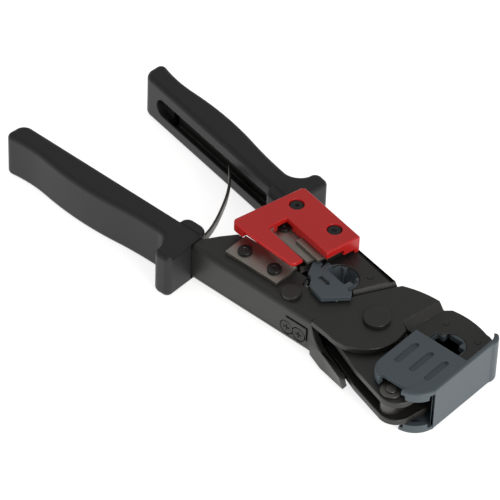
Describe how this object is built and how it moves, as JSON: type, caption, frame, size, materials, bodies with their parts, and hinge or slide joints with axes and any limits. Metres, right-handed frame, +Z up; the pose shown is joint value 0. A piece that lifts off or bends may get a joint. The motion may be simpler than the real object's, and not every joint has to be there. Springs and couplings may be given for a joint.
{
  "type": "crimping tool",
  "caption": "Hand crimping tool for modular plugs: two channel arms on a pivot, wide and narrow plug nests, guarded cutter and stripper, black grips.",
  "frame": {"origin": "on the main pivot's axis, at the flat end of its lower head, which lies on the surface that the tool rests on", "axes": "+X from the pivot to the jaws, along the fixed arm; +Y towards the moving arm; +Z up, along the pivot's axis, towards the side with the blades"},
  "size_m": [0.1971, 0.077, 0.0248],
  "materials": {
    "black_steel": "satin black oxide or thin black paint on pressed sheet",
    "black_grip": "fine matte moulded texture",
    "blue_grey_plastic": "satin moulded plastic",
    "red_plastic": "semi-gloss moulded plastic",
    "black_steel_pin": "blackened steel",
    "bare_steel": "plain turned or pressed steel",
    "blade_steel": "ground blade steel",
    "black_screw": "black oxide",
    "spring_steel": "blued spring steel",
    "die_steel": "ground tool steel"
  },
  "bodies": {
    "fixed_arm_body": {"fixed_frame": "black_steel", "fixed_grip": "black_grip", "plug_nest_8p": "blue_grey_plastic", "nest_8p_pins": "black_steel_pin", "jaw_cap": "blue_grey_plastic", "crimp_die_6p": "die_steel", "die_6p_contact_blades": "die_steel", "die_6p_screws": "black_screw", "fixed_blade": "blade_steel", "fixed_blade_screws": "black_screw", "pivot_pin": "black_steel_pin", "pivot_clip": "black_steel_pin", "pawl_pin": "black_steel_pin", "leaf_spring": "spring_steel", "leaf_spring_rivet": "bare_steel", "pawl_spring": "spring_steel"},
    "moving_arm_body": {"moving_arm": "black_steel", "moving_grip": "black_grip", "plug_nest_6p": "blue_grey_plastic", "nest_6p_pins": "black_steel_pin", "crimp_die_8p": "die_steel", "die_8p_contact_blades": "die_steel", "jaw_pin": "bare_steel", "jaw_pin_clips": "bare_steel", "blade_spacer": "black_steel_pin", "cutter_blade": "blade_steel", "cutter_blade_screw": "black_screw", "stripper_blade": "blade_steel", "blade_guard": "red_plastic", "blade_guard_screws": "black_screw", "ratchet_sector": "bare_steel", "ratchet_rivets": "bare_steel"},
    "pawl_body": {"ratchet_pawl": "bare_steel"}
  },
  "joints": [
    {"name": "handle_pivot", "type": "hinge", "parent": "fixed_arm_body", "child": "moving_arm_body", "pos_m": [0, 0, 0.0096], "axis": [0, 0, 1], "range_deg": [0, 11], "stiffness_Nm_per_rad": 1.5, "springref_deg": -14.32, "deforming": ["leaf_spring"]},
    {"name": "pawl_pivot", "type": "hinge", "parent": "fixed_arm_body", "child": "pawl_body", "pos_m": [-0.03, -0.0104, 0.0115], "axis": [0, 0, 1], "range_deg": [-8, 8], "stiffness_Nm_per_rad": 0.002}
  ]
}
